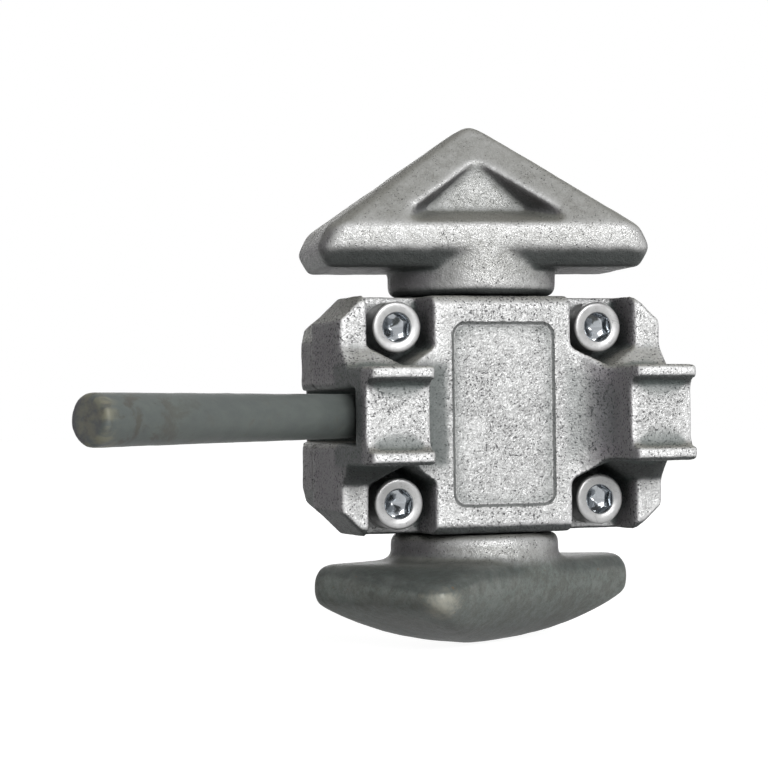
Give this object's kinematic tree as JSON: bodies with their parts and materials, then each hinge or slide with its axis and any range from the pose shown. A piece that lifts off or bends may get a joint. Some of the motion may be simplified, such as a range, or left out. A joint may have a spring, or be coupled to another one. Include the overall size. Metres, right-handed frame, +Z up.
{
  "type": "container twistlock",
  "caption": "Manual stacking twistlock: split cast housing with flange lugs round one turning spindle with pyramid upper cone, domed lower cone and lever handle.",
  "frame": {"origin": "on the spindle axis, halfway between the upper and lower flange bearing faces", "axes": "+Z up along the spindle towards the pyramid cone, +X along the housing away from the handle slot, -Y to the front with the screw heads"},
  "size_m": [0.2059, 0.1496, 0.1673],
  "materials": {
    "galvanised_casting": "hot-dip galvanised casting, bright grainy zinc",
    "galvanised_forging": "hot-dip galvanised forging, satin zinc",
    "dull_galvanised_bar": "hot-dip galvanised round bar, matt grey zinc",
    "zinc_screw": "bright zinc plate",
    "zinc_fastener": "zinc plate",
    "dull_fastener": "hot-dip galvanised fastener, matt grey zinc",
    "ground_steel": "ground and oiled steel",
    "bronze": "plain bronze bush"
  },
  "bodies": {
    "housing": {"front_housing": "galvanised_casting", "rear_housing": "galvanised_casting", "screw_upper_left": "zinc_screw", "screw_upper_right": "zinc_screw", "screw_lower_left": "zinc_screw", "screw_lower_right": "zinc_screw", "spring_washer_upper_left": "zinc_fastener", "spring_washer_upper_right": "zinc_fastener", "spring_washer_lower_left": "zinc_fastener", "spring_washer_lower_right": "zinc_fastener", "nut_upper_left": "zinc_fastener", "nut_upper_right": "zinc_fastener", "nut_lower_left": "zinc_fastener", "nut_lower_right": "zinc_fastener", "dowel_right": "ground_steel", "dowel_left": "ground_steel", "bush_upper_front": "bronze", "bush_upper_rear": "bronze", "bush_lower_front": "bronze", "bush_lower_rear": "bronze", "detent_plunger": "ground_steel", "detent_springs": "ground_steel"},
    "spindle_unit": {"spindle": "galvanised_forging", "handle_rod": "dull_galvanised_bar", "handle_pin": "dull_fastener"}
  },
  "joints": [
    {"name": "spindle_turn", "type": "hinge", "parent": "housing", "child": "spindle_unit", "pos_m": [0, 0, 0], "axis": [0, 0, 1], "range_deg": [-62, 0]}
  ]
}
